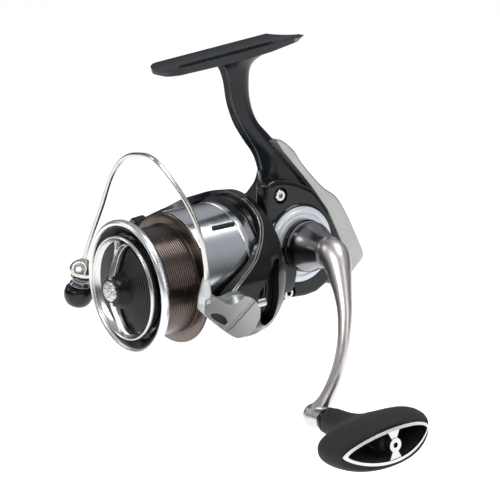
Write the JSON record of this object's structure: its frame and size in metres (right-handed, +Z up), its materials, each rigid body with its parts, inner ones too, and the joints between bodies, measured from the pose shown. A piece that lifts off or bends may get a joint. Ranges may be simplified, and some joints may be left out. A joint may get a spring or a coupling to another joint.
{
  "type": "spinning reel",
  "caption": "Spinning fishing reel: foot on a curved stem, geared rotor with a swinging bail wire, sliding spool with a drag knob, and a crank handle with a T-shaped knob.",
  "frame": {"origin": "centre of the foot's top, where the rod's reel seat bears", "axes": "+Z up towards the rod, -Y forwards along the spool axis towards the drag knob, +X towards the handle; the foot itself is tilted 4.4 degrees about X to the spool axis"},
  "size_m": [0.139, 0.1212, 0.144],
  "materials": {
    "case_dark": "satin dark grey",
    "gloss_black": "gloss black",
    "pearl_silver": "pearl silver paint",
    "plate_silver": "bright silver paint",
    "smoked_chrome": "smoked chrome",
    "satin_nickel": "satin nickel",
    "lever_silver": "satin silver",
    "bright_steel": "polished stainless",
    "bearing_steel": "ground steel",
    "gear_alloy": "machined alloy",
    "brass": "machined brass",
    "grip_rubber": "matte charcoal",
    "matte_black": "matte black",
    "lip_silver": "satin machined",
    "bronze_dark": "dark bronze anodised",
    "skirt_silver": "mirror silver",
    "drag_silver": "bright trim",
    "felt": "woven drag felt",
    "seal_rubber": "soft seal"
  },
  "bodies": {
    "case": {"body_frame": "case_dark", "side_cover": "gloss_black", "engine_plate": "plate_silver", "left_cap": "smoked_chrome", "rear_protector": "pearl_silver", "cover_screws": "bright_steel", "pinion_bearings": "bearing_steel", "one_way_clutch": "bearing_steel", "pinion_seal": "seal_rubber", "rotor_brake_ring": "seal_rubber", "drive_bearings": "bearing_steel", "worm_bushes": "brass", "guide_rod": "bearing_steel"},
    "crank": {"drive_gear": "gear_alloy", "drive_shaft": "bearing_steel", "handle_collar": "smoked_chrome", "collar_ring": "matte_black", "handle_arm": "satin_nickel", "knob_shaft": "bright_steel", "knob_screw": "bright_steel"},
    "knob": {"knob_grip": "grip_rubber", "knob_trim": "drag_silver", "knob_cap": "matte_black", "knob_bearings": "bearing_steel", "knob_collars": "matte_black"},
    "rotor": {"rotor": "gloss_black", "pinion_gear": "brass", "rotor_nut": "bearing_steel", "bail_pivot_screws": "bearing_steel", "bail_spring": "bright_steel", "near_arm_cover": "gloss_black", "far_arm_cover": "gloss_black"},
    "bail": {"bail_lever": "lever_silver", "lever_cover": "lever_silver", "bail_wire": "bright_steel", "roller_arm": "gloss_black", "roller_collar": "bright_steel", "roller_screw": "bright_steel", "roller_bearing": "bearing_steel"},
    "roller": {"line_roller": "smoked_chrome"},
    "worm": {"worm_shaft": "bearing_steel", "worm_gear": "gear_alloy"},
    "shaft": {"main_shaft": "bearing_steel", "slider": "gear_alloy", "spool_washer": "bearing_steel", "keyed_washers": "bearing_steel"},
    "spool": {"spool_barrel": "bronze_dark", "spool_lip": "lip_silver", "spool_skirt": "skirt_silver", "line_clip": "bright_steel", "drag_washers": "felt", "washer_clip": "bright_steel", "spool_bearings": "bearing_steel", "click_ring": "brass"},
    "drag_knob": {"drag_knob_ring": "drag_silver", "drag_knob_cone": "gloss_black", "drag_knob_blades": "drag_silver", "drag_knob_button": "drag_silver", "drag_nut": "brass"}
  },
  "joints": [
    {"name": "crank_turn", "type": "hinge", "parent": "case", "child": "crank", "pos_m": [0, 0.0172, -0.0767], "axis": [1, 0, 0], "continuous": true},
    {"name": "knob_spin", "type": "hinge", "parent": "crank", "child": "knob", "pos_m": [0.075, -0.00371, -0.13294], "axis": [1, 0, 0], "continuous": true},
    {"name": "rotor_spin", "type": "hinge", "parent": "case", "child": "rotor", "pos_m": [0, 0.0172, -0.0831], "axis": [0, 1, 0], "continuous": true},
    {"name": "worm_spin", "type": "hinge", "parent": "case", "child": "worm", "pos_m": [-0.00655, 0.0172, -0.08899], "axis": [0, 1, 0], "continuous": true},
    {"name": "bail_open", "type": "hinge", "parent": "rotor", "child": "bail", "pos_m": [0, -0.0228, -0.0831], "axis": [0.9603, 0, -0.279], "range_deg": [0, 90]},
    {"name": "roller_spin", "type": "hinge", "parent": "bail", "child": "roller", "pos_m": [-0.03254, -0.0482, -0.07396], "axis": [0.2783, 0.0698, 0.958], "continuous": true},
    {"name": "shaft_slide", "type": "slide", "parent": "case", "child": "shaft", "axis": [0, -1, 0], "range_m": [0, 0.0155]},
    {"name": "spool_spin", "type": "hinge", "parent": "shaft", "child": "spool", "pos_m": [0, -0.0398, -0.0831], "axis": [0, 1, 0], "continuous": true},
    {"name": "drag_knob_turn", "type": "hinge", "parent": "shaft", "child": "drag_knob", "pos_m": [0, -0.0528, -0.0831], "axis": [0, 1, 0], "range_deg": [-270, 270]}
  ],
  "couplings": [
    {"joint": "rotor_spin", "follows": "crank_turn", "ratio": 4},
    {"joint": "worm_spin", "follows": "crank_turn", "ratio": -2.5714}
  ]
}
